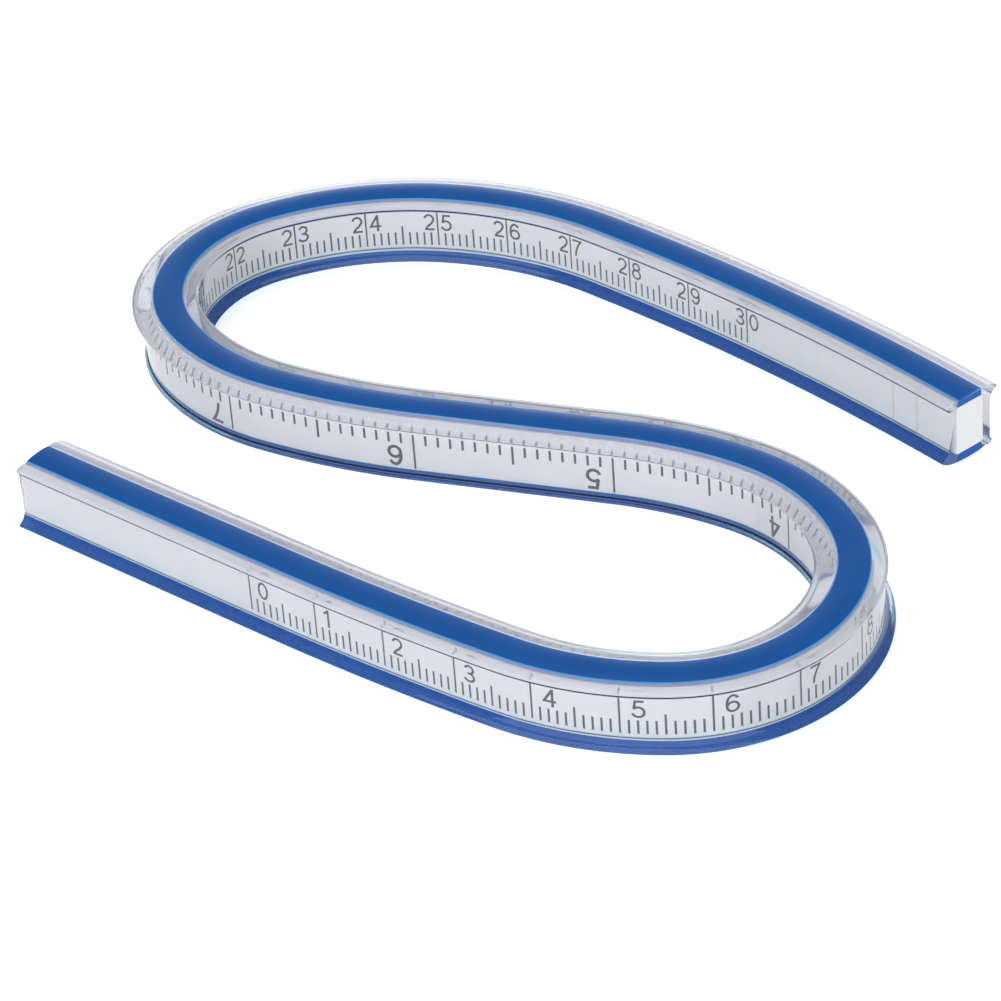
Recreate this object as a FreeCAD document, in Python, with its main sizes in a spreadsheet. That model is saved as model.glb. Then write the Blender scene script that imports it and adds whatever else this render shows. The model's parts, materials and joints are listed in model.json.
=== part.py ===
import FreeCAD, Part
import math
import os
import Sketcher

# A 30 cm / 12 inch flexible curve, bent into an S and lying flat on a table.
# The extrusion runs along a centreline of straight runs and tangent arcs. It is
# divided at four places into five stiff lengths, joined by upright hinges that
# stand for its bending.
#
# Section axes: u runs across the ruler, negative on the centimetre side and
# positive on the inch side. v runs up from the middle of the section. Turning the
# section half a turn about its middle gives the same section again.

doc = FreeCAD.newDocument("flexible_curve")
os.makedirs("parts", exist_ok=True)

sheet = doc.addObject("Spreadsheet::Sheet", "Sizes")

SECTION_SIZES = {
    "HalfHeight": 4.65,  # middle of the section above the table
    "BlueHalfWidth": 2.0,
    "BlueEdgeAtLip": 4.45,  # outer corner of a blue wall next to the small lip
    "BlueEdgeAtFlange": 4.55,  # outer corner next to the wide flange
    "DomeRadius": 14.0,  # crown across each blue wall
    "FlangeReach": 4.7,
    "FlangeTipTop": 3.65,
    "FlangeTipInset": 4.5,
    "FlangeTipUnder": 3.4,
    "FlangeTopRadius": 4.2,
    "FlangeUnderRadius": 1.7,
    "FlangeRoot": 2.25,  # where the flange grows out of the side wall
    "WallOuter": 3.5,
    "WallInner": 2.3,
    "LipRoot": 3.55,  # where the small lip grows out of the side wall
    "LipReach": 3.85,
    "LipUnder": 3.85,
    "LipCornerHeight": 4.15,
    "LipCornerWidth": 3.6,
    "LipCrest": 4.4,
    "CoreHalfWidth": 2.15,
    "CoreHalfHeight": 3.4,
    "CavityHalfWidth": 1.4,
    "CavityHalfHeight": 2.7,
    "LeadHalfWidth": 0.8,
    "ScaleHalfHeight": 3.2,
    "PlugLength": 4.0,
}

CUT_SIZES = {
    "HingeGap": 0.3,  # clear space between two lengths at the hinge line
    "OpeningLimit": 30.0,  # degrees a hinge can straighten
    "ClosingLimit": 6.0,  # degrees a hinge can tighten
    "CutMargin": 0.6,  # degrees of extra slope on each cut face
    "CutReach": 8.0,  # half width of the cut, beyond the flange tips
    "CutBack": 3.0,  # how far a cut runs past the end of the length
}

START_SIZES = {
    "StartX": -57.020,
    "StartY": -1.344,
    "StartHeading": -41.06,  # degrees from +X
}

# Each length, from the end where the scales start. A run is
# (name, kind, length or radius in mm, angle in degrees).
LENGTHS = [
    ("start_tail", [("Straight", "straight", 40.6, 0.0),
                    ("Ease", "left", 348.4, 5.2),
                    ("Turn", "left", 37.24, 28.48)]),
    ("first_bend", [("Turn", "left", 20.9, 109.9)]),
    ("middle_run", [("Leave", "left", 27.79, 40.73),
                    ("Ease", "left", 53.86, 17.62),
                    ("Straight", "straight", 25.05, 0.0),
                    ("Drift", "right", 87.63, 13.53),
                    ("Enter", "right", 29.81, 35.24)]),
    ("second_bend", [("Turn", "right", 19.84, 89.89),
                     ("Ease", "right", 38.38, 15.0)]),
    ("finish_tail", [("Leave", "right", 38.38, 22.39),
                     ("Ease", "right", 47.66, 27.55),
                     ("Drift", "right", 340.6, 9.58),
                     ("Tip", "straight", 5.0, 0.0)]),
]

# Which side of each joint is the outside of the bend: -1 centimetre, +1 inch.
HINGE_OUTSIDE = [-1, -1, 1, 1]

row = 1


def storeSize(alias, value):
    global row
    sheet.set("A%d" % row, alias)
    sheet.set("B%d" % row, str(value))
    sheet.setAlias("B%d" % row, alias)
    row += 1


def runAlias(lengthName, runName, what):
    words = lengthName.split("_")
    return words[0].capitalize() + words[1].capitalize() + runName + what


for group in (SECTION_SIZES, CUT_SIZES, START_SIZES):
    for alias, value in group.items():
        storeSize(alias, value)
for lengthName, runs in LENGTHS:
    for runName, kind, size, angle in runs:
        if kind == "straight":
            storeSize(runAlias(lengthName, runName, "Length"), size)
        else:
            storeSize(runAlias(lengthName, runName, "Radius"), size)
            storeSize(runAlias(lengthName, runName, "Angle"), angle)
doc.recompute()


def size(alias):
    return float(getattr(sheet, alias))


def originPlane(body, role):
    for item in body.Origin.OriginFeatures:
        if item.Role == role:
            return item
    raise RuntimeError("no plane " + role)


def addSketch(body, name, role, offset=None):
    sketch = body.newObject("Sketcher::SketchObject", name)
    sketch.AttachmentSupport = [(originPlane(body, role), "")]
    sketch.MapMode = "FlatFace"
    if offset is not None:
        sketch.AttachmentOffset = offset
    return sketch


def advance(pose, kind, radius, angle, length):
    """Pose (x, y, heading in degrees) after one run of the centreline."""
    x, y, heading = pose
    a = math.radians(heading)
    if kind == "straight":
        return x + length * math.cos(a), y + length * math.sin(a), heading
    turn = angle if kind == "left" else -angle
    side = 1.0 if kind == "left" else -1.0
    centreX = x - side * radius * math.sin(a)
    centreY = y + side * radius * math.cos(a)
    b = math.radians(heading + turn)
    return (centreX + side * radius * math.sin(b),
            centreY - side * radius * math.cos(b),
            heading + turn)


def walk(lengthName, runs, pose):
    """Poses at the start of each run and at the end of the last one."""
    poses = [pose]
    for runName, kind, _, _ in runs:
        if kind == "straight":
            length = size(runAlias(lengthName, runName, "Length"))
            poses.append(advance(poses[-1], kind, 0, 0, length))
        else:
            radius = size(runAlias(lengthName, runName, "Radius"))
            angle = size(runAlias(lengthName, runName, "Angle"))
            poses.append(advance(poses[-1], kind, radius, angle, 0))
    return poses


def pin(sketch, geo, point, uText, vText):
    """Fixes a point of the sketch to two expressions of the sheet, whatever their sign."""
    spot = sketch.getPoint(geo, point)
    for kind, text, value in (("DistanceX", uText, spot.x), ("DistanceY", vText, spot.y)):
        if value >= 0:
            index = sketch.addConstraint(Sketcher.Constraint(kind, -1, 1, geo, point, value))
            sketch.setExpression("Constraints[%d]" % index, text)
        else:
            index = sketch.addConstraint(Sketcher.Constraint(kind, geo, point, -1, 1, -value))
            sketch.setExpression("Constraints[%d]" % index, "-(" + text + ")")


def textValue(text):
    """Value of a sum of sheet sizes written as text, such as 'Sizes.A - Sizes.B'."""
    total = 0.0
    sign = 1.0
    for word in text.replace("(", " ").replace(")", " ").split():
        if word == "+":
            sign = 1.0
        elif word == "-":
            sign = -1.0
        else:
            total += sign * size(word.replace("Sizes.", ""))
            sign = 1.0
    return total


def addOutline(sketch, corners, turned):
    """Closed outline in the section plane.

    Each corner is (u text, v text, radius alias or None, bulge). The radius belongs to
    the edge that starts at the corner: bulge +1 bows to the left of travel, -1 to the
    right. A turned outline is rotated half a turn about the middle of the section."""
    side = -1 if turned else 1
    spots = []
    for uText, vText, _, _ in corners:
        spots.append(FreeCAD.Vector(side * textValue(uText),
                                    size("HalfHeight") + side * textValue(vText), 0))
    first = sketch.GeometryCount
    count = len(corners)
    for i, (_, _, radiusAlias, bulge) in enumerate(corners):
        a = spots[i]
        b = spots[(i + 1) % count]
        if radiusAlias is None:
            sketch.addGeometry(Part.LineSegment(a, b), False)
            continue
        radius = size(radiusAlias)
        chord = b.sub(a)
        rise = radius - math.sqrt(radius * radius - chord.Length ** 2 / 4)
        left = FreeCAD.Vector(-chord.y, chord.x, 0).normalize()
        middle = a.add(b).multiply(0.5).add(left.multiply(rise * bulge))
        sketch.addGeometry(Part.Arc(a, middle, b), False)

    def endPoint(i, atStart):
        """Sketch point number at one end of edge i: an arc may be stored the other way."""
        wanted = spots[i] if atStart else spots[(i + 1) % count]
        near = sketch.getPoint(first + i, 1)
        return 1 if near.sub(wanted).Length < 1e-6 else 2

    for i in range(count):
        following = (i + 1) % count
        sketch.addConstraint(Sketcher.Constraint("Coincident", first + i, endPoint(i, False),
                                                 first + following, endPoint(following, True)))
    for i, (uText, vText, radiusAlias, _) in enumerate(corners):
        if turned:
            pin(sketch, first + i, endPoint(i, True), "-(" + uText + ")",
                "Sizes.HalfHeight - (" + vText + ")")
        else:
            pin(sketch, first + i, endPoint(i, True), uText, "Sizes.HalfHeight + " + vText)
        if radiusAlias is not None:
            index = sketch.addConstraint(Sketcher.Constraint("Radius", first + i,
                                                             size(radiusAlias)))
            sketch.setExpression("Constraints[%d]" % index, "Sizes." + radiusAlias)


def corner(u, v, radius=None, bulge=0):
    def spell(word):
        if word.startswith("-"):
            return "- Sizes." + word[1:]
        return "Sizes." + word
    return (spell(u), spell(v), radius, bulge)


def rectangle(uLow, uHigh, vLow, vHigh):
    return [corner(uLow, vLow), corner(uHigh, vLow), corner(uHigh, vHigh), corner(uLow, vHigh)]


CLEAR_WALL = [
    corner("BlueHalfWidth", "BlueEdgeAtFlange", "FlangeTopRadius", 1),
    corner("FlangeReach", "FlangeTipTop"),
    corner("FlangeTipInset", "FlangeTipUnder", "FlangeUnderRadius", -1),
    corner("WallOuter", "FlangeRoot"),
    corner("WallOuter", "-LipRoot"),
    corner("LipReach", "-LipUnder"),
    corner("LipReach", "-LipCornerHeight"),
    corner("LipCornerWidth", "-LipCrest"),
    corner("BlueHalfWidth", "-BlueEdgeAtLip"),
    corner("BlueHalfWidth", "-CoreHalfHeight"),
    corner("WallInner", "-CoreHalfHeight"),
    corner("WallInner", "CoreHalfHeight"),
    corner("BlueHalfWidth", "CoreHalfHeight"),
]

BLUE_WALL = [
    corner("-BlueHalfWidth", "BlueEdgeAtLip", "DomeRadius", 1),
    corner("BlueHalfWidth", "BlueEdgeAtFlange"),
    corner("BlueHalfWidth", "CoreHalfHeight"),
    corner("-BlueHalfWidth", "CoreHalfHeight"),
]

CORE = rectangle("-CoreHalfWidth", "CoreHalfWidth", "-CoreHalfHeight", "CoreHalfHeight")
CAVITY = rectangle("-CavityHalfWidth", "CavityHalfWidth",
                   "-CavityHalfHeight", "CavityHalfHeight")
LEAD = rectangle("-LeadHalfWidth", "LeadHalfWidth", "-CavityHalfHeight", "CavityHalfHeight")
SPRING = rectangle("LeadHalfWidth", "CavityHalfWidth",
                   "-CavityHalfHeight", "CavityHalfHeight")
SCALE_STRIP = rectangle("CoreHalfWidth", "WallInner", "-ScaleHalfHeight", "ScaleHalfHeight")

# (piece, outline, hole or None, turned half a turn, stops short of the end plugs)
PIECES = [
    ("clear_wall_inch", CLEAR_WALL, None, False, False),
    ("clear_wall_cm", CLEAR_WALL, None, True, False),
    ("blue_top", BLUE_WALL, None, False, False),
    ("blue_bottom", BLUE_WALL, None, True, False),
    ("white_core", CORE, CAVITY, False, False),
    ("lead_bar", LEAD, None, False, True),
    ("spring_steel_inch", SPRING, None, False, True),
    ("spring_steel_cm", SPRING, None, True, True),
    ("scale_strip_inch", SCALE_STRIP, None, False, False),
    ("scale_strip_cm", SCALE_STRIP, None, True, False),
]


def addPath(body, lengthName, runs):
    """Centreline of one length, from the body's origin along +X."""
    sketch = addSketch(body, body.Name + "_path", "XY_Plane")
    poses = walk(lengthName, runs, (0.0, 0.0, 0.0))
    ends = []
    for i, (runName, kind, _, _) in enumerate(runs):
        x, y, heading = poses[i]
        endX, endY, _ = poses[i + 1]
        start = FreeCAD.Vector(x, y, 0)
        end = FreeCAD.Vector(endX, endY, 0)
        if kind == "straight":
            sketch.addGeometry(Part.LineSegment(start, end), False)
        else:
            radius = size(runAlias(lengthName, runName, "Radius"))
            half = size(runAlias(lengthName, runName, "Angle")) / 2
            midX, midY, _ = advance(poses[i], kind, radius, half, 0)
            sketch.addGeometry(Part.Arc(start, FreeCAD.Vector(midX, midY, 0), end), False)
        forward = sketch.getPoint(i, 1).sub(start).Length < 1e-6
        ends.append((1, 2) if forward else (2, 1))
    first = ends[0][0]
    sketch.addConstraint(Sketcher.Constraint("Coincident", 0, first, -1, 1))
    for i in range(len(runs) - 1):
        sketch.addConstraint(Sketcher.Constraint("Tangent", i, ends[i][1],
                                                 i + 1, ends[i + 1][0]))
    if runs[0][1] == "straight":
        sketch.addConstraint(Sketcher.Constraint("Horizontal", 0))
    else:
        sketch.addConstraint(Sketcher.Constraint("PointOnObject", 0, 3, -2))
    for i, (runName, kind, _, _) in enumerate(runs):
        if kind == "straight":
            alias = runAlias(lengthName, runName, "Length")
            index = sketch.addConstraint(Sketcher.Constraint("Distance", i, size(alias)))
            sketch.setExpression("Constraints[%d]" % index, "Sizes." + alias)
            continue
        alias = runAlias(lengthName, runName, "Radius")
        index = sketch.addConstraint(Sketcher.Constraint("Radius", i, size(alias)))
        sketch.setExpression("Constraints[%d]" % index, "Sizes." + alias)
        alias = runAlias(lengthName, runName, "Angle")
        index = sketch.addConstraint(Sketcher.Constraint("Angle", i,
                                                         math.radians(size(alias))))
        sketch.setExpression("Constraints[%d]" % index, "Sizes." + alias + " * 1 deg")
    return sketch, poses[-1]


def addCut(body, name, pose, back, corners):
    """Cuts the end of a length away above and below the table plane.

    The corners are given for a length that runs along +X from its end; back turns the
    cut round for the far end."""
    x, y, heading = pose
    turn = heading + (180.0 if back else 0.0)
    offset = FreeCAD.Placement(FreeCAD.Vector(x, y, 0),
                               FreeCAD.Rotation(FreeCAD.Vector(0, 0, 1), turn))
    sketch = addSketch(body, name + "_outline", "XY_Plane", offset)
    spots = [FreeCAD.Vector(cx, cy, 0) for cx, cy, _, _ in corners]
    for i in range(len(spots)):
        sketch.addGeometry(Part.LineSegment(spots[i], spots[(i + 1) % len(spots)]), False)
    for i in range(len(spots)):
        sketch.addConstraint(Sketcher.Constraint("Coincident", i, 2, (i + 1) % len(spots), 1))
    for i, (_, _, xText, yText) in enumerate(corners):
        if yText == "0":
            value = sketch.getPoint(i, 1).x
            index = sketch.addConstraint(Sketcher.Constraint("DistanceX", -1, 1, i, 1, value))
            sketch.setExpression("Constraints[%d]" % index, xText)
            sketch.addConstraint(Sketcher.Constraint("PointOnObject", i, 1, -1))
        else:
            pin(sketch, i, 1, xText, yText)
    pocket = body.newObject("PartDesign::Pocket", name)
    pocket.Profile = sketch
    pocket.Type = "ThroughAll"
    pocket.Midplane = True
    doc.recompute()
    sketch.Visibility = False
    return pocket


def hingeCorners(outside):
    """Outline of a hinge notch: a steep face on the outside of the bend, a slight one
    on the inside, both starting half the gap away from the hinge line."""
    reach = size("CutReach")
    back = size("CutBack")
    gap = size("HingeGap") / 2
    corners = [(-back, -reach, "- Sizes.CutBack", "- Sizes.CutReach")]
    for side in (-1, 1):
        limit = "OpeningLimit" if side == outside else "ClosingLimit"
        angle = math.radians(size(limit) / 2 + size("CutMargin"))
        text = ("Sizes.HingeGap / 2 + Sizes.CutReach * tan(Sizes.%s / 2 + Sizes.CutMargin)"
                % limit)
        spot = (gap + reach * math.tan(angle), side * reach, text,
                "Sizes.CutReach" if side > 0 else "- Sizes.CutReach")
        if side < 0:
            corners.append(spot)
            corners.append((gap, 0.0, "Sizes.HingeGap / 2", "0"))
        else:
            corners.append(spot)
    corners.append((-back, reach, "- Sizes.CutBack", "Sizes.CutReach"))
    return corners


def plugCorners():
    reach = size("CutReach")
    back = size("CutBack")
    plug = size("PlugLength")
    return [(-back, -reach, "- Sizes.CutBack", "- Sizes.CutReach"),
            (plug, -reach, "Sizes.PlugLength", "- Sizes.CutReach"),
            (plug, reach, "Sizes.PlugLength", "Sizes.CutReach"),
            (-back, reach, "- Sizes.CutBack", "Sizes.CutReach")]


def placementAt(pose):
    return FreeCAD.Placement(FreeCAD.Vector(pose[0], pose[1], 0),
                             FreeCAD.Rotation(FreeCAD.Vector(0, 0, 1), pose[2]))


def addPipe(body, kind, name, section, path, runCount):
    pipe = body.newObject(kind, name)
    pipe.Profile = section
    pipe.Spine = (path, ["Edge%d" % (i + 1) for i in range(runCount)])
    pipe.Mode = "Standard"
    doc.recompute()
    section.Visibility = False
    return pipe


def addPiece(piece, lengthIndex, pose):
    """One piece of the extrusion over one length of the ruler."""
    pieceName, outline, hole, turned, shortOfPlugs = piece
    lengthName, runs = LENGTHS[lengthIndex]
    label = pieceName + "_" + lengthName
    body = doc.addObject("PartDesign::Body", label)
    body.Label = label
    path, end = addPath(body, lengthName, runs)
    section = addSketch(body, label + "_section", "YZ_Plane")
    addOutline(section, outline, turned)
    doc.recompute()
    addPipe(body, "PartDesign::AdditivePipe", label + "_run", section, path, len(runs))
    if hole is not None:
        inner = addSketch(body, label + "_cavity_section", "YZ_Plane")
        addOutline(inner, hole, turned)
        doc.recompute()
        addPipe(body, "PartDesign::SubtractivePipe", label + "_cavity", inner, path,
                len(runs))
    path.Visibility = False
    full = body.Shape.Volume
    last = len(LENGTHS) - 1
    start = (0.0, 0.0, 0.0)
    if lengthIndex > 0:
        addCut(body, label + "_start_notch", start, False,
               hingeCorners(HINGE_OUTSIDE[lengthIndex - 1]))
    elif shortOfPlugs:
        addCut(body, label + "_start_trim", start, False, plugCorners())
    if lengthIndex < last:
        addCut(body, label + "_end_notch", end, True,
               hingeCorners(-HINGE_OUTSIDE[lengthIndex]))
    elif shortOfPlugs:
        addCut(body, label + "_end_trim", end, True, plugCorners())
    if not 0.5 * full < body.Shape.Volume <= full:
        raise RuntimeError("a cut took the wrong side off " + label)
    body.Placement = placementAt(pose)
    return body


def addPlug(label, pose, inward):
    """White plug that closes the core at one end of the ruler."""
    body = doc.addObject("PartDesign::Body", label)
    body.Label = label
    sketch = addSketch(body, label + "_outline", "YZ_Plane")
    addOutline(sketch, CAVITY, False)
    pad = body.newObject("PartDesign::Pad", label + "_pad")
    pad.Profile = sketch
    pad.Length = size("PlugLength")
    pad.setExpression("Length", "Sizes.PlugLength")
    pad.Reversed = not inward
    sketch.Visibility = False
    body.Placement = placementAt(pose)
    return body


bodies = []
pose = (size("StartX"), size("StartY"), size("StartHeading"))
bodies.append(addPlug("end_plug_start", pose, True))
hinges = []
for lengthIndex, (lengthName, runs) in enumerate(LENGTHS):
    for piece in PIECES:
        bodies.append(addPiece(piece, lengthIndex, pose))
    pose = walk(lengthName, runs, pose)[-1]
    if lengthIndex < len(LENGTHS) - 1:
        hinges.append(pose)
bodies.append(addPlug("end_plug_finish", pose, False))

doc.recompute()

for item in doc.Objects:
    if "Invalid" in item.State or "Error" in item.State:
        raise RuntimeError("%s is %s" % (item.Name, item.State))

for body in bodies:
    shape = body.Shape
    if shape.isNull() or not shape.isValid():
        raise RuntimeError("bad shape in " + body.Label)
    if len(shape.Solids) != 1:
        raise RuntimeError("%s has %d solids" % (body.Label, len(shape.Solids)))
    shape.exportStep(os.path.join("parts", body.Label + ".step"))

for x, y, heading in hinges:
    print("hinge at %.3f %.3f heading %.2f" % (x, y, heading))
print("end at %.3f %.3f heading %.2f" % pose)
print("%d pieces" % len(bodies))
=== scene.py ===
import json
import math

import bpy
import numpy as np
from mathutils import Matrix, Vector


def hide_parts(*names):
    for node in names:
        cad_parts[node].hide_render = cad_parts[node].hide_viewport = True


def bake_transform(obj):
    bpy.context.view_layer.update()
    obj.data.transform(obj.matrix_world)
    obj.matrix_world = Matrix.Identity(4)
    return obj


# A 30 cm / 12 inch flexible curve lying on a table, bent into an S. Each extruded
# layer is swept along the ruler's middle line in four stretches, and each stretch
# bends over one hinge of the CAD model. Lengths are in millimetres until placed.

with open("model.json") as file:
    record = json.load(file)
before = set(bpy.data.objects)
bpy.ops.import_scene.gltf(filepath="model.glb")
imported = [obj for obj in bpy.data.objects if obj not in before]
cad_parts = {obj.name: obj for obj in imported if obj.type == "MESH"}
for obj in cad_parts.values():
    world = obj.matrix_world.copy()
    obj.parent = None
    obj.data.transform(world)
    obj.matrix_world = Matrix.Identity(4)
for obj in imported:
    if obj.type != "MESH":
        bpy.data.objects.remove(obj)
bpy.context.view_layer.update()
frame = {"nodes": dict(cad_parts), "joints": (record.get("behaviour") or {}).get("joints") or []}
mm = 0.001
noiseSpan = {"From Min": 0.3, "From Max": 0.7}   # where nearly all noise values lie
wideSpan = {"From Min": 0.2, "From Max": 0.8}    # the same, for a softer contrast


def linear(hexColour, alpha=1.0):
    # sRGB hex to the linear values that Blender works in
    parts = [int(hexColour[i:i + 2], 16) / 255 for i in (1, 3, 5)]
    return [p / 12.92 if p <= 0.04045 else ((p + 0.055) / 1.055) ** 2.4 for p in parts] + [alpha]


def addNode(tree, kind, inputs=None, **settings):
    # inputs: socket name or number -> a value, or another node's output to link
    node = tree.nodes.new(kind)
    for name, value in settings.items():
        setattr(node, name, value)
    for name, value in (inputs or {}).items():
        if isinstance(value, bpy.types.NodeSocket):
            tree.links.new(value, node.inputs[name])
        else:
            node.inputs[name].default_value = value
    return node


def newMaterial(name):
    material = bpy.data.materials.new(name)
    material.use_nodes = True
    material.node_tree.nodes.clear()
    return material, material.node_tree


def finishMaterial(tree, shader):
    addNode(tree, "ShaderNodeOutputMaterial", {"Surface": shader})


# The middle line: one entry per CAD length, from the end where the scales start. A run
# is (length or radius in mm, turn in degrees, left positive), and no turn is straight.
middleLine = {
    "lengths": [
        ("start_tail", [(40.6, 0), (348.4, 5.2), (37.24, 28.48)]),
        ("first_bend", [(20.9, 109.9)]),
        ("middle_run", [(27.79, 40.73), (53.86, 17.62), (25.05, 0),
                        (87.63, -13.53), (29.81, -35.24)]),
        ("second_bend", [(19.84, -89.89), (38.38, -15.0)]),
        ("finish_tail", [(38.38, -22.39), (47.66, -27.55), (340.6, -9.58), (5.0, 0)]),
    ],
    "joints": ["start_tail_flex", "first_bend_flex", "second_bend_flex", "finish_tail_flex"],
    "halfHeight": 4.65,     # middle of the section above the table
    "ringSpacing": 0.8,     # along the line
    "sharpOver": 38.0,      # degrees, edges sharper than this stay crisp
    "flexReach": 17.0,      # mm, each side of a hinge
}


def buildRuns(lengths):
    # start distance, place (complex), heading, curvature and length of every run
    runs, lengthEnds = [], []
    along, place, heading = 0.0, 0j, 0.0
    for _, parts in lengths:
        for size, turn in parts:
            bend = 0.0 if turn == 0 else math.copysign(1 / size, turn)
            length = size if turn == 0 else size * math.radians(abs(turn))
            runs.append((along, place, heading, bend, length))
            place = place + pointAlong(heading, bend, length)
            heading += bend * length
            along += length
        lengthEnds.append((along, place))
    return runs, lengthEnds


def pointAlong(heading, bend, distance):
    # chord of an arc, or a straight step
    if abs(bend) < 1e-9:
        return distance * np.exp(1j * heading)
    return (np.exp(1j * (heading + bend * distance)) - np.exp(1j * heading)) / (1j * bend)


runs, lengthEnds = buildRuns(middleLine["lengths"])
totalLength = lengthEnds[-1][0]
jointPlace = {j["name"]: j["pos_m"] for j in frame["joints"]}

# The chain is drawn from its own zero, then laid onto the CAD hinges.
drawn = np.array([place for _, place in lengthEnds[:-1]])
wanted = np.array([complex(*jointPlace[name][:2]) / mm for name in middleLine["joints"]])
turn = np.angle(((wanted - wanted.mean()) * np.conj(drawn - drawn.mean())).sum())
worst = np.abs((drawn - drawn.mean()) * np.exp(1j * turn) + wanted.mean() - wanted).max()
print("middle line %.1f mm long, %.3f mm off the CAD hinges" % (totalLength, worst))


def lineAt(distances):
    # places (complex, mm), headings and curvatures at distances along the line
    distances = np.atleast_1d(np.asarray(distances, float))
    starts = np.array([run[0] for run in runs])
    which = np.clip(np.searchsorted(starts, distances, side="right") - 1, 0, len(runs) - 1)
    places = np.zeros(len(distances), complex)
    headings, bends = np.zeros(len(distances)), np.zeros(len(distances))
    for i, (start, place, heading, bend, _) in enumerate(runs):
        mine = which == i
        step = distances[mine] - start
        places[mine] = place + pointAlong(heading, bend, step)
        headings[mine] = heading + bend * step
        bends[mine] = bend
    places = (places - drawn.mean()) * np.exp(1j * turn) + wanted.mean()
    return places, headings + turn, bends


def placeOnRuler(along, across, up):
    # metres in the shared frame, for points given along, across (inch side positive)
    # and up from the middle of the section
    places, headings, _ = lineAt(along)
    places = places + np.asarray(across) * 1j * np.exp(1j * headings)
    height = np.asarray(up) + middleLine["halfHeight"]
    return np.stack([places.real, places.imag, np.broadcast_to(height, places.shape)], 1) * mm


lengthNames = [name for name, _ in middleLine["lengths"]]
hingeAt = [end for end, _ in lengthEnds[:-1]]
halfWay = [(hingeAt[i] + hingeAt[i + 1]) / 2 for i in range(len(hingeAt) - 1)]
seams = [0.0] + halfWay + [totalLength]
stretchNames = ["start_stretch", "near_stretch", "far_stretch", "finish_stretch"]


def settle(piece, stretch, layer=None):
    # the stretch lies over its own hinge and stands for the CAD lengths on both sides, which are
    # hidden when a layer is named
    a, b = lengthNames[stretch], lengthNames[stretch + 1]
    place, heading, _ = lineAt(hingeAt[stretch])
    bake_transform(piece)
    if layer:
        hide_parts(layer + "_" + a, layer + "_" + b)


leastCorner = 0.2    # radians, a flatter corner isn't rounded
mostCut = 0.45       # share of a side that the rounding of one corner may take


def roundedOutline(corners, halfTurn=False, arcParts=10, cornerParts=3):
    # corners: (across, up, corner radius, arc radius of the edge that follows, its
    # bulge, edge mark). The result is the outline and the mark of each of its points.
    points = []
    count = len(corners)
    for i, (u, v, soft, arc, bulge, mark) in enumerate(corners):
        start = complex(u, v)
        points.append((start, soft, mark))
        if arc:
            end = complex(*corners[(i + 1) % count][:2])
            half = abs(end - start) / 2
            left = 1j * (end - start) / abs(end - start)
            centre = (start + end) / 2 - left * bulge * math.sqrt(arc * arc - half * half)
            spread = np.angle((end - centre) / (start - centre))
            for k in range(1, arcParts):
                points.append((centre + (start - centre) * np.exp(1j * spread * k / arcParts), 0, 0))
    area = sum((points[i - 1][0].conjugate() * points[i][0]).imag for i in range(len(points)))
    if area < 0:
        points.reverse()
    outline, marks = [], []
    for i, (point, soft, mark) in enumerate(points):
        before, after = points[i - 1][0], points[(i + 1) % len(points)][0]
        into, out = point - before, after - point
        corner = abs(np.angle(out / into))
        if soft <= 0 or corner < leastCorner:
            outline.append(point)
            marks.append(mark)
            continue
        cut = min(soft * math.tan(corner / 2), mostCut * abs(into), mostCut * abs(out))
        a, b = point - cut * into / abs(into), point + cut * out / abs(out)
        for k in range(cornerParts + 1):
            t = k / cornerParts
            outline.append((1 - t) ** 2 * a + 2 * t * (1 - t) * point + t * t * b)
            marks.append(mark)
    return np.array(outline) * (-1 if halfTurn else 1), np.array(marks, float)


zones = {
    "topsideFrom": 3.2,     # up from the middle of the section, where handling starts to show
    "topsideOver": 0.5,
    "footBeyond": 3.55,     # across, outside the flat of the wall
    "footBelow": -2.3,
}


def wallZones(outline):
    # share of each outline point in the handled upper side, and in the foot that stands
    # out from the wall
    inFoot = (np.abs(outline.real) > zones["footBeyond"]) & (outline.imag < zones["footBelow"])
    return {
        "topside": np.clip((outline.imag - zones["topsideFrom"]) / zones["topsideOver"], 0, 1),
        "foot": inFoot.astype(float),
    }


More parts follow.
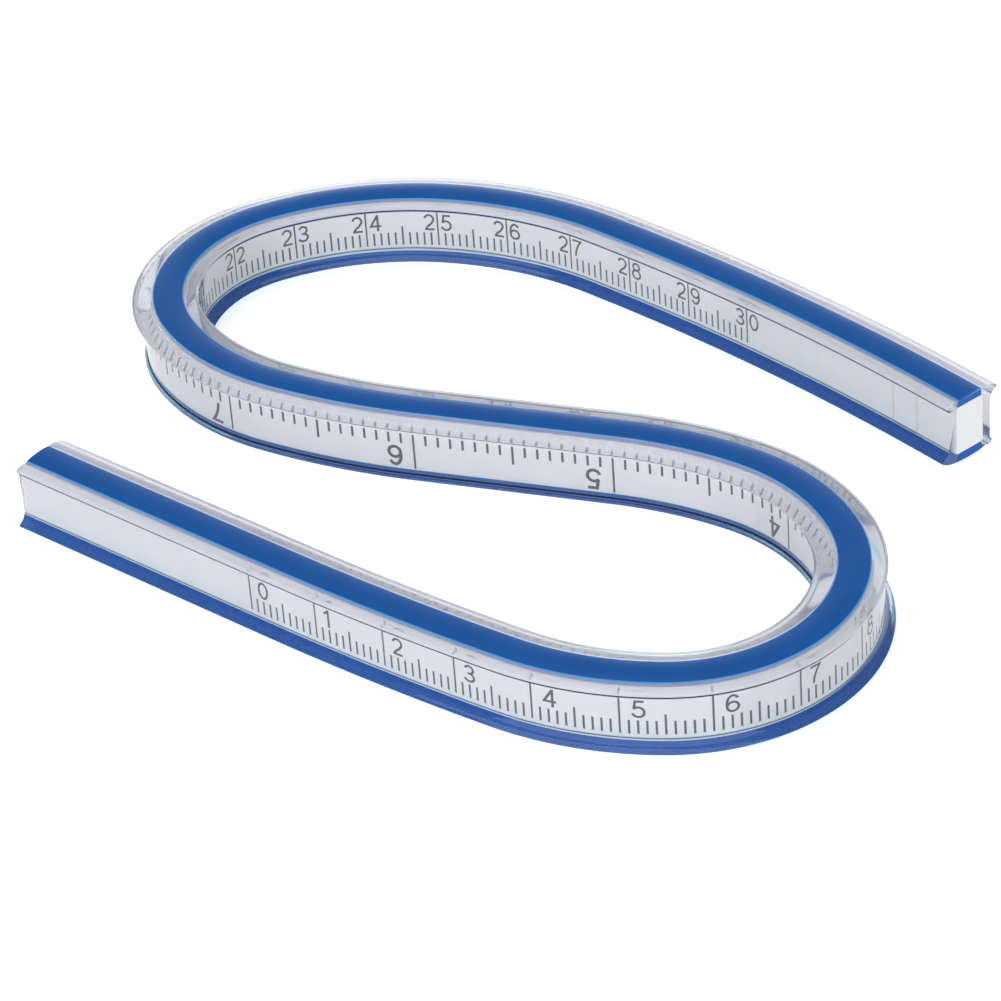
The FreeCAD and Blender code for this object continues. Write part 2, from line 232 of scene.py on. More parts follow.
def sweepOutline(name, shape, start, end, closedStart, closedEnd):
    # a mesh along the middle line, with lengthwise UV in mm for its patterns, and the
    # edge marks and zones of its outline as attributes
    outline, marks = shape
    rings = max(2, int(round((end - start) / middleLine["ringSpacing"])) + 1)
    along = np.linspace(start, end, rings)
    count = len(outline)
    points = placeOnRuler(np.repeat(along, count), np.tile(outline.real, rings),
                          np.tile(outline.imag, rings))
    ring, spot = np.meshgrid(np.arange(rings - 1), np.arange(count), indexing="ij")
    nextSpot = (spot + 1) % count
    quads = np.stack([ring * count + spot, ring * count + nextSpot,
                      (ring + 1) * count + nextSpot, (ring + 1) * count + spot], -1)
    faces = quads.reshape(-1, 4).tolist()
    if closedStart:
        faces.append(list(range(count))[::-1])
    if closedEnd:
        faces.append([(rings - 1) * count + i for i in range(count)])
    mesh = bpy.data.meshes.new(name)
    mesh.from_pydata(points.tolist(), [], faces)
    around = np.concatenate([[0], np.cumsum(np.abs(np.roll(outline, -1) - outline))])
    uvLayer = mesh.uv_layers.new(name="lay")
    uv = np.stack([
        np.stack([along[ring], around[spot]], -1),
        np.stack([along[ring], around[spot + 1]], -1),
        np.stack([along[ring + 1], around[spot + 1]], -1),
        np.stack([along[ring + 1], around[spot]], -1),
    ], 2).reshape(-1, 2)
    capLoops = len(mesh.loops) - len(uv)
    if capLoops:
        capUv = np.array([(outline[i % count].real, outline[i % count].imag)
                          for f in faces[quads.shape[0] * quads.shape[1]:] for i in f])
        uv = np.concatenate([uv, capUv])
    uvLayer.data.foreach_set("uv", uv.astype(np.float32).ravel())
    # edge marks say where the blue paints its edge highlight and the clear paints its crease shade
    edge = mesh.attributes.new("edge", "FLOAT", "POINT")
    edge.data.foreach_set("value", np.tile(marks, rings).astype(np.float32))
    for zone, share in wallZones(outline).items():
        attribute = mesh.attributes.new(zone, "FLOAT", "POINT")
        attribute.data.foreach_set("value", np.tile(share, rings).astype(np.float32))
    mesh.polygons.foreach_set("use_smooth", [True] * len(mesh.polygons))
    mesh.set_sharp_from_angle(angle=math.radians(middleLine["sharpOver"]))
    mesh.validate()
    piece = bpy.data.objects.new(name, mesh)
    bpy.context.scene.collection.objects.link(piece)
    return piece


def layLayer(layer, outline, material):
    # one layer of the extrusion, whole length
    for i, stretch in enumerate(stretchNames):
        piece = sweepOutline(layer + "_" + stretch, outline, seams[i], seams[i + 1],
                             i == 0, i == len(stretchNames) - 1)
        piece.data.materials.append(material)
        settle(piece, i, layer)
    print("laid", layer)


clearWall = {
    "roughness": (0.03, 0.09),
    "ior": 1.53,                 # PVC
    "tint": "#FAFBFB",
    "footPaintedBlue": "#86DCFF",       # painted blue, standing in for the blue wall seen through the foot
    "haze": 0.02,                # share of light the plastic scatters
    "hazeThrough": 0.75,         # part of the scattered light that goes on through
    "scuffHaze": 0.5,            # haze of the upper side, milky from handling
    "scuffRoughness": 0.06,
    "scuffVary": (0.8, 1.2),     # along the die lines
    "hazeColour": "#FAFAFD",
    "paintedCreaseShade": "#263D60",   # painted shade, a dark line under the lip and the flange
    # how far the painted crease shade covers the glass
    "paintedCreaseShare": 0.92,
    "shadowTint": "#F5F6F7",
    "drawLine": (70.0, 0.35),    # mm long, mm wide: lines left by the die
    "drawDetail": 3.0,
    "drawRoughness": 0.6,        # how strong the finer lines are
    "drawDepth": 0.0002,         # mm
    "wave": 7.0,                 # mm, slow ripple of a hand-bent strip
    "waveDepth": 0.003,
}


def dieLines(tree, lay, look):
    # noise drawn out along the strip, like the lines that a die leaves
    long, wide = look["drawLine"]
    stretched = addNode(tree, "ShaderNodeMapping", {"Vector": lay, "Scale": (1 / long, 1 / wide, 1)})
    return addNode(tree, "ShaderNodeTexNoise", {
        "Vector": stretched.outputs[0], "Scale": 1.0, "Detail": look["drawDetail"],
        "Roughness": look["drawRoughness"]}, noise_dimensions="2D").outputs["Fac"]


def makeClearPvc(look):
    # Clear PVC, extruded: glassy with fine die lines along it, so the scale under it
    # shows crisp; milky where it is handled, with a painted blue tint in the foot for the blue wall
    # seen through it, and painted shade as dark lines in the creases.
    material, tree = newMaterial("clear_pvc_extruded")
    lay = addNode(tree, "ShaderNodeUVMap", uv_map="lay").outputs["UV"]
    lines = dieLines(tree, lay, look)
    wave = addNode(tree, "ShaderNodeTexNoise", {
        "Vector": lay, "Scale": 1 / look["wave"], "Detail": 1.0},
        noise_dimensions="2D").outputs["Fac"]
    rough = addNode(tree, "ShaderNodeMapRange", {
        "Value": lines, **noiseSpan,
        "To Min": look["roughness"][0], "To Max": look["roughness"][1]}).outputs[0]
    # the upper side is scuffed by fingers and pencils, in long soft strokes
    topside = addNode(tree, "ShaderNodeAttribute", attribute_name="topside").outputs["Fac"]
    strokes = addNode(tree, "ShaderNodeMapRange", {
        "Value": lines, **wideSpan,
        "To Min": look["scuffVary"][0], "To Max": look["scuffVary"][1]}).outputs[0]
    scuff = addNode(tree, "ShaderNodeMath", {0: topside, 1: strokes},
                    operation="MULTIPLY", use_clamp=True).outputs[0]
    rough = addNode(tree, "ShaderNodeMath", {0: scuff, 1: look["scuffRoughness"], 2: rough},
                    operation="MULTIPLY_ADD").outputs[0]
    ripple = addNode(tree, "ShaderNodeBump", {"Height": wave, "Strength": 1.0,
                                              "Distance": look["waveDepth"] * mm})
    bump = addNode(tree, "ShaderNodeBump", {"Height": lines, "Strength": 1.0,
                                            "Distance": look["drawDepth"] * mm,
                                            "Normal": ripple.outputs[0]})
    # painted blue tint in the foot, for the blue wall seen through it
    foot = addNode(tree, "ShaderNodeAttribute", attribute_name="foot").outputs["Fac"]
    tint = addNode(tree, "ShaderNodeMix", {"Factor": foot, 6: linear(look["tint"]),
                                           7: linear(look["footPaintedBlue"])}, data_type="RGBA")
    glass = addNode(tree, "ShaderNodeBsdfPrincipled", {
        "Base Color": tint.outputs[2], "Roughness": rough, "IOR": look["ior"],
        "Transmission Weight": 1.0, "Normal": bump.outputs[0]})
    # painted shade: dark lines under the flange tip, the lip and the flange root
    creaseShadeMask = addNode(tree, "ShaderNodeAttribute", attribute_name="edge").outputs["Fac"]
    shade = addNode(tree, "ShaderNodeMix", {"Factor": creaseShadeMask, 6: linear(look["hazeColour"]),
                                            7: linear(look["paintedCreaseShade"])}, data_type="RGBA")
    back = addNode(tree, "ShaderNodeBsdfDiffuse", {"Color": shade.outputs[2]})
    on = addNode(tree, "ShaderNodeBsdfTranslucent", {"Color": shade.outputs[2]})
    haze = addNode(tree, "ShaderNodeMixShader", {
        0: look["hazeThrough"], 1: back.outputs[0], 2: on.outputs[0]})
    milky = addNode(tree, "ShaderNodeMapRange", {
        "Value": scuff, "To Min": look["haze"], "To Max": look["scuffHaze"]}).outputs[0]
    share = addNode(tree, "ShaderNodeMapRange", {
        "Value": creaseShadeMask, "To Min": milky, "To Max": look["paintedCreaseShare"]}).outputs[0]
    body = addNode(tree, "ShaderNodeMixShader", {0: share, 1: glass.outputs[0], 2: haze.outputs[0]})
    # lamps shine through the clear walls onto the scales
    through = addNode(tree, "ShaderNodeBsdfTransparent", {"Color": linear(look["shadowTint"])})
    rays = addNode(tree, "ShaderNodeLightPath").outputs["Is Shadow Ray"]
    finishMaterial(tree, addNode(tree, "ShaderNodeMixShader", {
        0: rays, 1: body.outputs[0], 2: through.outputs[0]}).outputs[0])
    return material


def clearOutline(tipPaintedShade, rootPaintedShade):
    # Inch side, flange at the top. It runs a little into the blue walls and into the
    # printed strip, because the layers are welded together with no air between them.
    # the last field marks the painted crease shade under the flange tip, the lip and the flange root
    return [
        (1.92, 4.30, 0, 0, 0, 0),
        (2.02, 4.50, 0.12, 4.2, 1, 0),
        (4.70, 3.65, 0.06, 0, 0, 0),
        (4.63, 3.56, 0, 0, 0, tipPaintedShade),
        (4.50, 3.40, 0.05, 1.7, -1, tipPaintedShade),
        (3.50, 2.25, 0.12, 0, 0, rootPaintedShade),
        (3.50, 2.00, 0, 0, 0, 0),
        (3.50, -3.20, 0, 0, 0, 0),
        (3.50, -3.32, 0, 0, 0, 0),
        (3.50, -3.38, 0, 0, 0, 1),
        (3.57, -3.62, 0, 0, 0, 1),
        (3.68, -3.70, 0, 0, 0, 0),
        (3.85, -3.85, 0.12, 0, 0, 0),
        (3.85, -4.15, 0.14, 0, 0, 0),
        (3.60, -4.40, 0.14, 0, 0, 0),
        (2.02, -4.36, 0.08, 0, 0, 0),
        (1.92, -4.20, 0, 0, 0, 0),
        (1.92, -3.45, 0, 0, 0, 0),
        (2.10, -3.30, 0, 0, 0, 0),
        (2.27, -3.15, 0, 0, 0, 0),
        (2.27, 3.15, 0, 0, 0, 0),
        (2.10, 3.30, 0, 0, 0, 0),
        (1.92, 3.45, 0, 0, 0, 0),
    ]


clearPvc = makeClearPvc(clearWall)
inchWall = roundedOutline(clearOutline(tipPaintedShade=1, rootPaintedShade=0))
cmWall = roundedOutline(clearOutline(tipPaintedShade=0, rootPaintedShade=1), halfTurn=True)
layLayer("clear_wall_inch", inchWall, clearPvc)
layLayer("clear_wall_cm", cmWall, clearPvc)


bluePvcLook = {
    "colours": ("#0452A0", "#085CAC"),
    "paintedHighlightColour": "#57A0E2",     # painted highlight, a paler line along the blue's edges where it meets the clear plastic
    "cloud": 7.0,                # mm, size of the slow colour change
    "roughness": (0.27, 0.32),
    "ior": 1.53,
    "specular": 0.2,             # plasticiser on the surface dulls the gloss
    "drawLine": (60.0, 0.16),    # mm long, mm wide
    "drawDetail": 4.0,
    "drawRoughness": 0.6,
    "drawDepth": 0.00015,        # mm
    "grain": 0.12,               # mm, fine orange peel
    "grainDepth": 0.0006,
}


def makeBluePvc(look):
    # Blue PVC, extruded: solid deep colour under a satin gloss, with faint lines
    # along the strip that stretch the highlights, and a painted highlight as a paler line along its
    # top edges.
    material, tree = newMaterial("blue_pvc_extruded")
    lay = addNode(tree, "ShaderNodeUVMap", uv_map="lay").outputs["UV"]
    lines = dieLines(tree, lay, look)
    grain = addNode(tree, "ShaderNodeTexNoise", {
        "Vector": lay, "Scale": 1 / look["grain"], "Detail": 2.0},
        noise_dimensions="2D").outputs["Fac"]
    cloud = addNode(tree, "ShaderNodeTexNoise", {
        "Vector": lay, "Scale": 1 / look["cloud"], "Detail": 2.0},
        noise_dimensions="2D").outputs["Fac"]
    shade = addNode(tree, "ShaderNodeMix", {"Factor": cloud, 6: linear(look["colours"][0]),
                                            7: linear(look["colours"][1])}, data_type="RGBA")
    # painted highlight along the edges of the blue top
    paintedHighlight = addNode(tree, "ShaderNodeAttribute", attribute_name="edge").outputs["Fac"]
    shade = addNode(tree, "ShaderNodeMix", {"Factor": paintedHighlight, 6: shade.outputs[2],
                                            7: linear(look["paintedHighlightColour"])}, data_type="RGBA")
    rough = addNode(tree, "ShaderNodeMapRange", {
        "Value": lines, **noiseSpan,
        "To Min": look["roughness"][0], "To Max": look["roughness"][1]}).outputs[0]
    peel = addNode(tree, "ShaderNodeBump", {"Height": grain, "Strength": 1.0,
                                            "Distance": look["grainDepth"] * mm})
    bump = addNode(tree, "ShaderNodeBump", {"Height": lines, "Strength": 1.0,
                                            "Distance": look["drawDepth"] * mm,
                                            "Normal": peel.outputs[0]})
    body = addNode(tree, "ShaderNodeBsdfPrincipled", {
        "Base Color": shade.outputs[2], "Roughness": rough, "IOR": look["ior"],
        "Specular IOR Level": look["specular"], "Normal": bump.outputs[0]})
    finishMaterial(tree, body.outputs[0])
    return material


def blueOutline(outerHalf, crown, paintedHighlight):
    # domed outside with the crown's radius, from one welded corner to the other
    # the last field marks the corners that get the painted highlight
    return [
        (-outerHalf, 4.42, 0.3, crown, 1, paintedHighlight),
        (outerHalf, 4.48, 0.3, 0, 0, paintedHighlight),
        (2.0, 4.15, 0, 0, 0, 0),
        (2.0, 3.4, 0, 0, 0, 0),
        (-2.0, 3.4, 0, 0, 0, 0),
        (-2.0, 4.1, 0, 0, 0, 0),
    ]


bluePvc = makeBluePvc(bluePvcLook)
# the top carries the painted edge highlight, the foot does not
blueTop = roundedOutline(blueOutline(2.0, 10.0, 1), arcParts=20, cornerParts=5)
# the foot spreads a little under the clear walls, so it fills them with blue
blueFoot = roundedOutline(blueOutline(2.4, 16.0, 0), halfTurn=True, arcParts=20, cornerParts=5)
layLayer("blue_top", blueTop, bluePvc)
layLayer("blue_bottom", blueFoot, bluePvc)


whiteLook = {
    "half": (2.15, 3.4),         # half width and half height
    "cavityHalf": (1.4, 2.7),
    "colours": ("#E4E6EA", "#EDEEF1"),
    "grain": 0.35,               # mm
    "grainDepth": 0.004,
    "roughness": (0.48, 0.62),
    "ior": 1.53,
}


def makeWhitePvc(look):
    # White filled PVC, cut with a blade at the ends: matt, with a faint chalky grain
    material, tree = newMaterial("white_pvc_cut")
    spot = addNode(tree, "ShaderNodeTexCoord").outputs["Object"]
    grain = addNode(tree, "ShaderNodeTexNoise", {"Vector": spot, "Scale": 1 / (look["grain"] * mm),
                                                 "Detail": 3.0}).outputs["Fac"]
    shade = addNode(tree, "ShaderNodeMix", {"Factor": grain, 6: linear(look["colours"][0]),
                                            7: linear(look["colours"][1])}, data_type="RGBA")
    bump = addNode(tree, "ShaderNodeBump", {"Height": grain, "Strength": 1.0,
                                            "Distance": look["grainDepth"] * mm})
    rough = addNode(tree, "ShaderNodeMapRange", {
        "Value": grain, **noiseSpan,
        "To Min": look["roughness"][0], "To Max": look["roughness"][1]}).outputs[0]
    body = addNode(tree, "ShaderNodeBsdfPrincipled", {
        "Base Color": shade.outputs[2], "Roughness": rough, "IOR": look["ior"],
        "Normal": bump.outputs[0]})
    finishMaterial(tree, body.outputs[0])
    return material


def coreOutline(half):
    u, v = half
    corners = ((u, -v), (u, v), (-u, v), (-u, -v))
    return roundedOutline([(x, y, 0, 0, 0, 0) for x, y in corners])


def sweepTube(name, outer, inner, start, end, closedStart, closedEnd):
    # outer skin and cavity in one mesh, with the ring between them closed at real ends
    shell = sweepOutline(name, outer, start, end, False, False)
    hole = sweepOutline(name + "_hole", inner, start, end, False, False)
    points = [v.co.copy() for v in shell.data.vertices] + [v.co.copy() for v in hole.data.vertices]
    faces = [list(p.vertices) for p in shell.data.polygons]
    offset = len(shell.data.vertices)
    faces += [[offset + i for i in reversed(p.vertices)] for p in hole.data.polygons]
    count = len(outer[0])
    for closed, ringStart, flip in ((closedStart, 0, True), (closedEnd, offset - count, False)):
        if closed:
            for i in range(count):
                j = (i + 1) % count
                quad = [ringStart + i, ringStart + j,
                        offset + ringStart + j, offset + ringStart + i]
                faces.append(quad[::-1] if flip else quad)
    mesh = bpy.data.meshes.new(name)
    mesh.from_pydata(points, [], faces)
    for old in (shell, hole):
        oldMesh = old.data
        bpy.data.objects.remove(old)
        bpy.data.meshes.remove(oldMesh)
    piece = bpy.data.objects.new(name, mesh)
    bpy.context.scene.collection.objects.link(piece)
    return piece


whitePvc = makeWhitePvc(whiteLook)
coreSkin = coreOutline(whiteLook["half"])
coreHole = coreOutline(whiteLook["cavityHalf"])
for i, stretch in enumerate(stretchNames):
    piece = sweepTube("white_core_" + stretch, coreSkin, coreHole, seams[i], seams[i + 1],
                      i == 0, i == len(stretchNames) - 1)
    piece.data.materials.append(whitePvc)
    settle(piece, i, "white_core")
print("laid white_core")


filmLook = {
    "face": 2.3,                 # printed face, across from the middle line
    "back": 2.16,
    "halfHeight": 3.2,
    "colours": ("#E2E2E6", "#E9E9EC"),
    "cloud": 4.0,                # mm
    "fibre": 0.25,               # mm
    "fibreDepth": 0.002,
    "roughness": (0.39, 0.51),
    "ior": 1.5,
}


def makeFilm(name, look):
    # White plastic film, calendered: even and slightly cool white with a soft sheen
    material, tree = newMaterial(name)
    lay = addNode(tree, "ShaderNodeUVMap", uv_map="lay").outputs["UV"]
    cloud = addNode(tree, "ShaderNodeTexNoise", {
        "Vector": lay, "Scale": 1 / look["cloud"], "Detail": 3.0},
        noise_dimensions="2D").outputs["Fac"]
    fibre = addNode(tree, "ShaderNodeTexNoise", {
        "Vector": lay, "Scale": 1 / look["fibre"], "Detail": 2.0},
        noise_dimensions="2D").outputs["Fac"]
    shade = addNode(tree, "ShaderNodeMix", {"Factor": cloud, 6: linear(look["colours"][0]),
                                            7: linear(look["colours"][1])}, data_type="RGBA")
    rough = addNode(tree, "ShaderNodeMapRange", {
        "Value": fibre, **noiseSpan,
        "To Min": look["roughness"][0], "To Max": look["roughness"][1]}).outputs[0]
    bump = addNode(tree, "ShaderNodeBump", {"Height": fibre, "Strength": 1.0,
                                            "Distance": look["fibreDepth"] * mm})
    body = addNode(tree, "ShaderNodeBsdfPrincipled", {
        "Base Color": shade.outputs[2], "Roughness": rough, "IOR": look["ior"],
        "Normal": bump.outputs[0]})
    finishMaterial(tree, body.outputs[0])
    return material


def stripOutline(face, back, half):
    corners = ((back, -half), (face, -half), (face, half), (back, half))
    return [(x, y, 0, 0, 0, 0) for x, y in corners]


film = makeFilm("white_film_calendered", filmLook)
filmEdges = stripOutline(filmLook["face"], filmLook["back"], filmLook["halfHeight"])
layLayer("scale_strip_inch", roundedOutline(filmEdges), film)
layLayer("scale_strip_cm", roundedOutline(filmEdges, halfTurn=True), film)


readingStep = 0.05               # mm of middle line between the points a scale is read at
scaleCm = {
    "side": -1,
    "zeroAt": 36.65,             # along the middle line
    "trueAt": 1.15,              # mm off the middle line, where the spacing holds true
    "step": 1.0,                 # mm between marks, measured along the strip
    "count": 300,
    "perNumber": 10,
    "perHalf": 5,
    "base": -2.14,               # foot of the marks, up from the middle
    "heights": (5.3, 2.85, 1.9), # numbered, half way and small marks
    "widths": (0.22, 0.25, 0.25),
    "digitFoot": 0.1,
    "digitHeight": 2.5,
    "digitStroke": 0.3,
    "digitGap": 1.3,             # from a mark to a single digit beside it
    "pairGap": 0.42,             # from a mark to the digits on both sides of it
}
scaleInch = {
    "side": 1,
    "zeroAt": 31.9,
    "trueAt": 2.3,
    "step": 25.4 / 16,
    "count": 192,
    "perNumber": 16,
    "perHalf": 8,
    "base": -2.14,
    "heights": (5.3, 2.9, 1.7),
    "widths": (0.26, 0.3, 0.3),
    "digitFoot": -0.05,
    "digitHeight": 3.0,
    "digitStroke": 0.42,
    "digitGap": 1.55,
    "pairGap": 0.42,
}
inkLook = {
    "colours": ("#414449", "#585B61"),
    "speck": 0.18,               # mm, uneven cover of the ink
    "speckDepth": 0.002,         # mm
    "roughness": (0.45, 0.6),
    "lift": 0.02,                # mm above the strip
}


def makeInk(look):
    # Screen-printed grey ink: thin, a little uneven in cover
    material, tree = newMaterial("grey_ink_screen_printed")
    spot = addNode(tree, "ShaderNodeTexCoord").outputs["Object"]
    speck = addNode(tree, "ShaderNodeTexNoise", {"Vector": spot, "Scale": 1 / (look["speck"] * mm),
                                                 "Detail": 2.0}).outputs["Fac"]
    shade = addNode(tree, "ShaderNodeMix", {"Factor": speck, 6: linear(look["colours"][0]),
                                            7: linear(look["colours"][1])}, data_type="RGBA")
    rough = addNode(tree, "ShaderNodeMapRange", {
        "Value": speck, **noiseSpan,
        "To Min": look["roughness"][0], "To Max": look["roughness"][1]}).outputs[0]
    bump = addNode(tree, "ShaderNodeBump", {"Height": speck, "Strength": 1.0,
                                            "Distance": look["speckDepth"] * mm})
    body = addNode(tree, "ShaderNodeBsdfPrincipled", {
        "Base Color": shade.outputs[2], "Roughness": rough, "Normal": bump.outputs[0]})
    finishMaterial(tree, body.outputs[0])
    return material


arcStep = 12         # degrees between the points of a digit's arcs
sharpestMitre = 0.5  # a stroke gets at most this much thicker at a corner, as 1 / value

# Middle lines of the strokes of each digit, in parts of its height: a point (x, y), or
# an arc (centre x, centre y, half width, half height, first angle, last angle).
digitStrokes = {
    "0": [[(0.325, 0.5, 0.255, 0.435, 90, 450)]],
    "1": [[(0.13, 0.74), (0.29, 0.83), (0.385, 0.99)], [(0.385, 1.0), (0.385, 0.0)]],
    "2": [[(0.32, 0.69, 0.245, 0.245, 168, -28), (0.42, 0.40), (0.22, 0.24), (0.11, 0.065)],
          [(0.06, 0.065), (0.60, 0.065)]],
    "3": [[(0.31, 0.72, 0.215, 0.215, 162, -90), (0.22, 0.505)],
          [(0.30, 0.285, 0.255, 0.22, 90, -165)]],
    "4": [[(0.46, 0.97), (0.07, 0.31), (0.64, 0.31)], [(0.46, 1.0), (0.46, 0.0)]],
    "5": [[(0.57, 0.935), (0.19, 0.935), (0.12, 0.50)],
          [(0.31, 0.335, 0.265, 0.27, 142, -165)]],
    "6": [[(0.335, 0.32, 0.25, 0.255, 90, 450)], [(0.345, 0.5, 0.265, 0.435, 38, 200)]],
    "7": [[(0.06, 0.935), (0.59, 0.935), (0.42, 0.68), (0.30, 0.40), (0.25, 0.18), (0.235, 0.0)]],
    "8": [[(0.325, 0.735, 0.205, 0.20, 90, 450)], [(0.325, 0.285, 0.25, 0.25, 90, 450)]],
    "9": [[(0.315, 0.68, 0.25, 0.255, 90, 450)], [(0.305, 0.5, 0.265, 0.435, 218, 380)]],
}


def strokePath(stroke):
    # a stroke's points, with its arcs cut into short steps
    points = []
    for part in stroke:
        if len(part) == 2:
            points.append(complex(*part))
            continue
        x, y, wide, high, first, last = part
        steps = max(4, int(abs(last - first) / arcStep))
        for k in range(steps + 1):
            a = math.radians(first + (last - first) * k / steps)
            points.append(complex(x + wide * math.cos(a), y + high * math.sin(a)))
    return np.array(points)


def digitShapes(height, thickness):
    # each digit as flat ribbons in mm, from its own left edge, feet at zero
    shapes = {}
    for digit, strokes in digitStrokes.items():
        points, faces = [], []
        for stroke in strokes:
            path = strokePath(stroke) * height
            steps = np.diff(path)
            steps = steps / np.abs(steps)
            closed = abs(path[0] - path[-1]) < 1e-6
            before = np.concatenate([[steps[-1] if closed else steps[0]], steps])
            after = np.concatenate([steps, [steps[0] if closed else steps[-1]]])
            side = 1j * (before + after)
            side = side / np.abs(side)
            mitre = np.clip((side * np.conj(1j * after)).real, sharpestMitre, 1)
            edge = side * thickness / 2 / mitre
            offset = len(points)
            for centre, away in zip(path, edge):
                points += [centre + away, centre - away]
            for i in range(offset, offset + 2 * (len(path) - 1), 2):
                faces.append([i, i + 1, i + 3, i + 2])
        points = np.array([(p.real, p.imag) for p in points])
        points[:, 0] -= points[:, 0].min()
        shapes[digit] = (points, faces)
    return shapes


def printScale(name, scale, ink):
    # marks and numbers of one scale, sorted into the four stretches
    side = scale["side"]
    across = side * (filmLook["face"] + inkLook["lift"])
    # distance along the print for every distance along the middle line: the strip is
    # partly dragged along by the bending wall, so it isn't spaced at its own face
    fine = np.linspace(0, totalLength, int(totalLength / readingStep) + 1)
    _, _, bends = lineAt(fine)
    trueAt = side * scale["trueAt"]
    onStrip = np.concatenate([[0], np.cumsum((1 - bends[:-1] * trueAt) * np.diff(fine))])
    zero = np.interp(scale["zeroAt"], fine, onStrip)
    shapes = digitShapes(scale["digitHeight"], scale["digitStroke"])
    sheets = [([], []) for _ in stretchNames]    # points and faces for each stretch

    def printShape(points, faces, middle):
        # points: (distance from zero along the strip, up). The inch scale is printed half
        # a turn round.
        along = np.interp(zero + points[:, 0], onStrip, fine)
        placed = placeOnRuler(along, across, -side * points[:, 1])
        stretch = np.searchsorted(seams, np.interp(zero + middle, onStrip, fine)) - 1
        sheetPoints, sheetFaces = sheets[int(np.clip(stretch, 0, len(sheets) - 1))]
        sheetFaces.extend([len(sheetPoints) + i for i in face] for face in faces)
        sheetPoints.extend(placed.tolist())

    for k in range(scale["count"] + 1):
        at = k * scale["step"]
        kind = 0 if k % scale["perNumber"] == 0 else 1 if k % scale["perHalf"] == 0 else 2
        half = scale["widths"][kind] / 2
        low, high = scale["base"], scale["base"] + scale["heights"][kind]
        mark = [(at - half, low), (at + half, low), (at + half, high), (at - half, high)]
        printShape(np.array(mark), [[0, 1, 2, 3]], at)
        if kind:
            continue
        number = str(k // scale["perNumber"])
        for place, digit in enumerate(number):
            points, faces = shapes[digit]
            wide = np.ptp(points[:, 0])
            gap = scale["digitGap"] if len(number) == 1 else scale["pairGap"]
            left = at - gap - wide if place < len(number) - 1 else at + gap
            shifted = points + np.array([left, scale["digitFoot"] - points[:, 1].min()])
            printShape(shifted, faces, at)
    for i, (points, faces) in enumerate(sheets):
        mesh = bpy.data.meshes.new(name + "_" + stretchNames[i])
        mesh.from_pydata(points, [], faces)
        piece = bpy.data.objects.new(mesh.name, mesh)
        bpy.context.scene.collection.objects.link(piece)
        piece.data.materials.append(ink)
        settle(piece, i)
    print("printed", name)


ink = makeInk(inkLook)
printScale("cm_marks", scaleCm, ink)
printScale("inch_marks", scaleInch, ink)


# The cm strip is cut and pieced a little before the end of the ruler.
stripCuts = {
    "fromEnd": (10.2, 6.1),      # mm
    "width": 0.14,
    "halfHeight": 3.15,
    "paintedShadeLine": 0.22,            # height of the painted shade line under the loose piece
    "colours": ("#BDBEC4", "#C8C9CE"),
}


def cutStrip(look):
    # pale edge lines on the film, and a dark line of painted shade between them at the foot
    across = scaleCm["side"] * (filmLook["face"] + inkLook["lift"])
    far, near = (totalLength - d for d in look["fromEnd"])
    half, top = look["width"] / 2, look["halfHeight"]
    cuts = [(far - half, far + half, -top, top), (near - half, near + half, -top, top),
            (far, near, -top, -top + look["paintedShadeLine"])]
    corners = []
    for a, b, low, high in cuts:
        corners += [(a, low), (b, low), (b, high), (a, high)]
    placed = placeOnRuler([x for x, _ in corners], across, [y for _, y in corners])
    mesh = bpy.data.meshes.new("cm_strip_cuts")
    mesh.from_pydata(placed.tolist(), [], [[4 * k + i for i in range(4)] for k in range(len(cuts))])
    uvLayer = mesh.uv_layers.new(name="lay")
    uvLayer.data.foreach_set("uv", np.array(corners, np.float32).ravel())
    mesh.materials.append(makeFilm("white_film_cut_edge", {**filmLook, "colours": look["colours"]}))
    mesh.materials.append(ink)
    mesh.polygons[len(cuts) - 1].material_index = 1      # the painted shade line takes the ink material
    piece = bpy.data.objects.new("cm_strip_cuts", mesh)
    bpy.context.scene.collection.objects.link(piece)
    settle(piece, len(stretchNames) - 1)


cutStrip(stripCuts)
print("cut the cm strip")


# The metal inside shows only in section. Lines are in mm: length, width and depth.
leadLook = {
    "colour": "#6C6E72",
    "roughness": (0.45, 0.65),
    "line": (25.0, 0.12),
    "depth": 0.004,
}
steelLook = {
    "colour": "#8B9099",
    "roughness": (0.22, 0.38),
    "line": (25.0, 0.06),
    "depth": 0.001,
}


def makeMetal(name, look):
    # Drawn or rolled metal: lined along its length, so the pattern changes fastest
    # upwards and the sheen is drawn out
    material, tree = newMaterial(name)
    spot = addNode(tree, "ShaderNodeTexCoord").outputs["Object"]
    long, wide = (1 / (size * mm) for size in look["line"])
    stretched = addNode(tree, "ShaderNodeMapping", {"Vector": spot, "Scale": (long, long, wide)})
    lines = addNode(tree, "ShaderNodeTexNoise", {
        "Vector": stretched.outputs[0], "Scale": 1.0, "Detail": 3.0}).outputs["Fac"]
    rough = addNode(tree, "ShaderNodeMapRange", {
        "Value": lines, **noiseSpan,
        "To Min": look["roughness"][0], "To Max": look["roughness"][1]}).outputs[0]
    bump = addNode(tree, "ShaderNodeBump", {"Height": lines, "Strength": 1.0,
                                            "Distance": look["depth"] * mm})
    body = addNode(tree, "ShaderNodeBsdfPrincipled", {
        "Base Color": linear(look["colour"]), "Metallic": 1.0, "Roughness": rough,
        "Normal": bump.outputs[0]})
    finishMaterial(tree, body.outputs[0])
    return material


def dress(prefix, material):
    # gives the carried CAD nodes of one kind their material
    for name, node in frame["nodes"].items():
        if name.startswith(prefix):
            node.data.materials.clear()
            node.data.materials.append(material)


dress("lead_bar", makeMetal("lead_drawn", leadLook))                 # dull and soft
dress("spring_steel", makeMetal("spring_steel_rolled", steelLook))   # brighter, finely lined
dress("end_plug", whitePvc)
print("metal dressed")


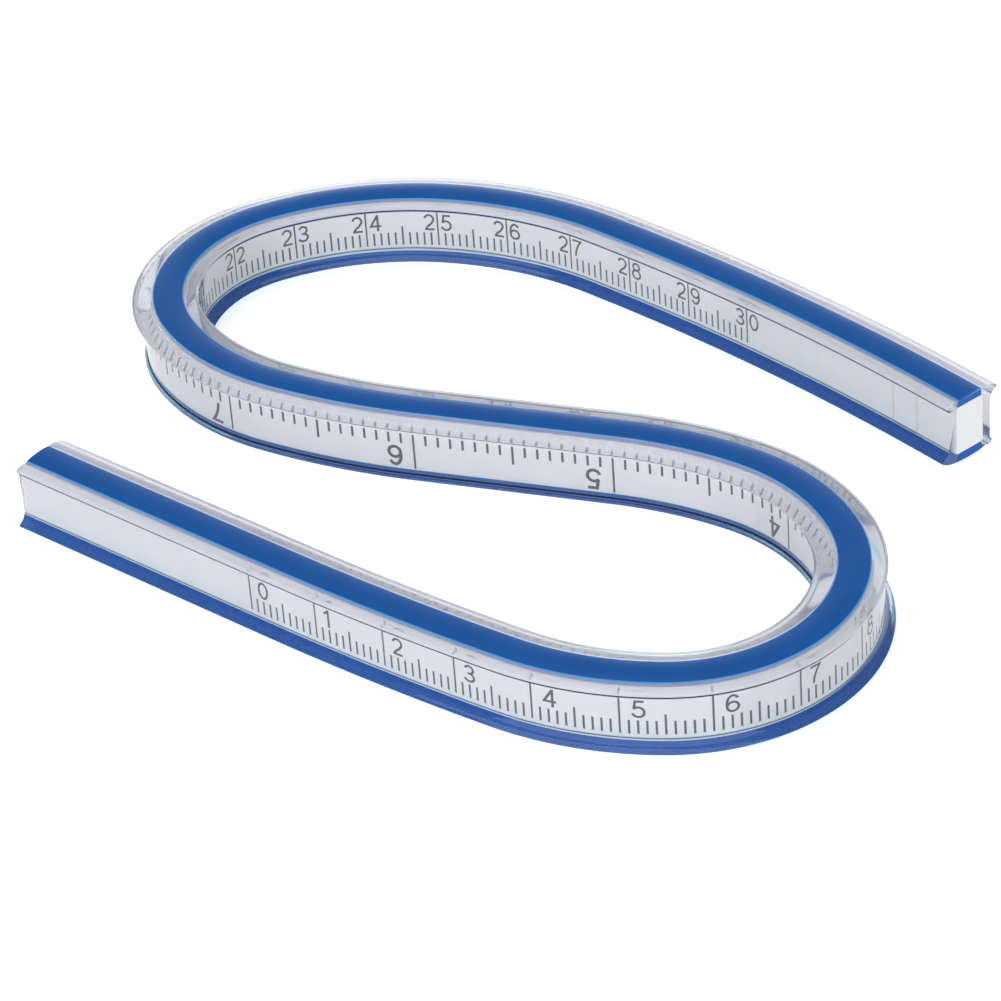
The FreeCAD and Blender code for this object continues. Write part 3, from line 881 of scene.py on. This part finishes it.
studio = {
    "floorColour": "#F7F7F8",
    "floorGlow": 0.45,           # the table is lit from below, so shadows stay faint
    "floorRoughness": 0.9,
    "floorSpecular": 0.2,
    "floorHalf": 1.6,            # m
    "floorParts": 24,
    "skyColour": "#FBFAFB",
    "skyStrength": 0.4,
    "lamps": [                   # name, place in m, size in m, watts
        ("top_softbox", (-0.1, 0.1, 1.15), (1.1, 0.9), 3.5),
        ("front_softbox", (-0.25, -1.1, 0.62), (2.6, 1.2), 11.5),
        ("back_softbox", (0.2, 1.1, 0.16), (1.5, 0.28), 4.2),
    ],
}
viewpoint = {
    "place": (-0.001291, -0.436538, 0.300770),
    "pitch": 34.914,             # degrees down
    "roll": -4.296,
    "lens": 154.82,
    "sensor": 36.0,
    "clip": (0.01, 20.0),        # m
}


def layFloor(look):
    # a plain pale table under the ruler
    half, parts = look["floorHalf"], look["floorParts"]
    row = parts + 1
    grid = [(-half + 2 * half * i / parts, -half + 2 * half * j / parts, 0)
            for j in range(row) for i in range(row)]
    tiles = [[j * row + i, j * row + i + 1, (j + 1) * row + i + 1, (j + 1) * row + i]
             for j in range(parts) for i in range(parts)]
    mesh = bpy.data.meshes.new("table_top")
    mesh.from_pydata(grid, [], tiles)
    floor = bpy.data.objects.new("table_top", mesh)
    bpy.context.scene.collection.objects.link(floor)
    material, tree = newMaterial("white_paper_sweep")
    finishMaterial(tree, addNode(tree, "ShaderNodeBsdfPrincipled", {
        "Base Color": linear(look["floorColour"]), "Roughness": look["floorRoughness"],
        "Specular IOR Level": look["floorSpecular"],
        "Emission Color": linear(look["floorColour"]),
        "Emission Strength": look["floorGlow"]}).outputs[0])
    mesh.materials.append(material)


def hangLamp(name, place, size, watts):
    # a softbox that looks at the middle of the ruler
    data = bpy.data.lights.new(name, "AREA")
    data.shape = "RECTANGLE"
    data.size, data.size_y = size
    data.energy = watts
    lamp = bpy.data.objects.new(name, data)
    bpy.context.scene.collection.objects.link(lamp)
    lamp.location = place
    lamp.rotation_euler = (-Vector(place)).to_track_quat("-Z", "Y").to_euler()


def setCamera(look):
    # looks along +Y and down, rolled a little
    pitch, roll = math.radians(look["pitch"]), math.radians(look["roll"])
    right = Vector((1, 0, 0))
    up = Vector((0, math.sin(pitch), math.cos(pitch)))
    ahead = Vector((0, math.cos(pitch), -math.sin(pitch)))
    turnedRight = right * math.cos(roll) + up * math.sin(roll)
    turnedUp = up * math.cos(roll) - right * math.sin(roll)
    data = bpy.data.cameras.new("camera")
    data.lens, data.sensor_width = look["lens"], look["sensor"]
    data.clip_start, data.clip_end = look["clip"]
    camera = bpy.data.objects.new("camera", data)
    bpy.context.scene.collection.objects.link(camera)
    basis = Matrix((turnedRight, turnedUp, -ahead)).transposed().to_4x4()
    camera.matrix_world = Matrix.Translation(Vector(look["place"])) @ basis
    bpy.context.scene.camera = camera


layFloor(studio)
for lampSettings in studio["lamps"]:
    hangLamp(*lampSettings)
world = bpy.data.worlds.new("studio")
bpy.context.scene.world = world
world.use_nodes = True
world.node_tree.nodes.clear()
sky = addNode(world.node_tree, "ShaderNodeBackground", {
    "Color": linear(studio["skyColour"]), "Strength": studio["skyStrength"]})
addNode(world.node_tree, "ShaderNodeOutputWorld", {"Surface": sky.outputs[0]})
bpy.context.scene.view_settings.view_transform = "Standard"
setCamera(viewpoint)
print("studio ready")
